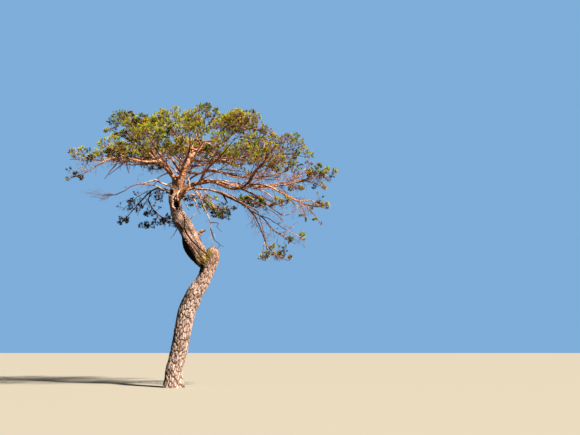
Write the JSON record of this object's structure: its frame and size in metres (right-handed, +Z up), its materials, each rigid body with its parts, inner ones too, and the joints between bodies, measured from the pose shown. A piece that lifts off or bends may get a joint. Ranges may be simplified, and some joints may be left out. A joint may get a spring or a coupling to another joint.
{
  "type": "scots pine tree",
  "caption": "Old scots pine with a leaning, kinked trunk, spreading boughs, a flat open crown of needle masses, drooping side boughs and dead limbs.",
  "frame": {"origin": "middle of the trunk's flat cut at ground level", "axes": "+Z up, -Y towards the viewer of the picture, +X to the right in it"},
  "size_m": [7.7922, 5.5513, 8.2473],
  "materials": {
    "trunk_bark": "rough plated bark, grey-brown with pinkish plates",
    "bough_bark": "thin flaking orange bark",
    "dead_wood": "bare weathered wood, pale",
    "dead_twigs": "thin bare dead twigs, pale brown",
    "needles": "sprays of waxy needles on brown twigs, olive green"
  },
  "bodies": {
    "root": {"trunk": "trunk_bark", "bough_leader": "bough_bark", "bough_left": "bough_bark", "bough_right": "bough_bark", "bough_droop": "bough_bark", "bough_front": "bough_bark", "bough_back": "bough_bark", "bough_far_left": "bough_bark", "bough_left_high": "bough_bark", "bough_left_front": "bough_bark", "bough_front_left": "bough_bark", "bough_back_left": "bough_bark", "bough_back_right": "bough_bark", "bough_right_high": "bough_bark", "bough_top_right": "bough_bark", "bough_peak": "bough_bark", "bough_curl": "bough_bark", "bough_right_middle": "bough_bark", "bough_front_right": "bough_bark", "bough_right_front": "bough_bark", "bough_far_right": "bough_bark", "bough_right_under": "bough_bark", "bough_right_low": "bough_bark", "bough_droop_outer": "bough_bark", "bough_far_left_low": "bough_bark", "bough_shade_left": "bough_bark", "bough_shade_low": "bough_bark", "bough_under": "bough_bark", "dead_limb_left": "dead_wood", "dead_limb_hanging": "dead_wood", "dead_twigs_left": "dead_twigs", "dead_twigs_hanging": "dead_twigs", "needles_crown_top": "needles", "needles_left_centre": "needles", "needles_right_shoulder": "needles", "needles_droop": "needles", "needles_front": "needles", "needles_back": "needles", "needles_far_left": "needles", "needles_left_top": "needles", "needles_left_front": "needles", "needles_front_left": "needles", "needles_back_left": "needles", "needles_back_right": "needles", "needles_right_top": "needles", "needles_top_right": "needles", "needles_peak": "needles", "needles_right_mid": "needles", "needles_right_middle": "needles", "needles_front_right": "needles", "needles_right_front": "needles", "needles_far_right": "needles", "needles_right_under": "needles", "needles_right_low": "needles", "needles_droop_outer": "needles", "needles_far_left_low": "needles", "needles_shade_left": "needles", "needles_shade_low": "needles", "needles_under": "needles"}
  },
  "joints": []
}
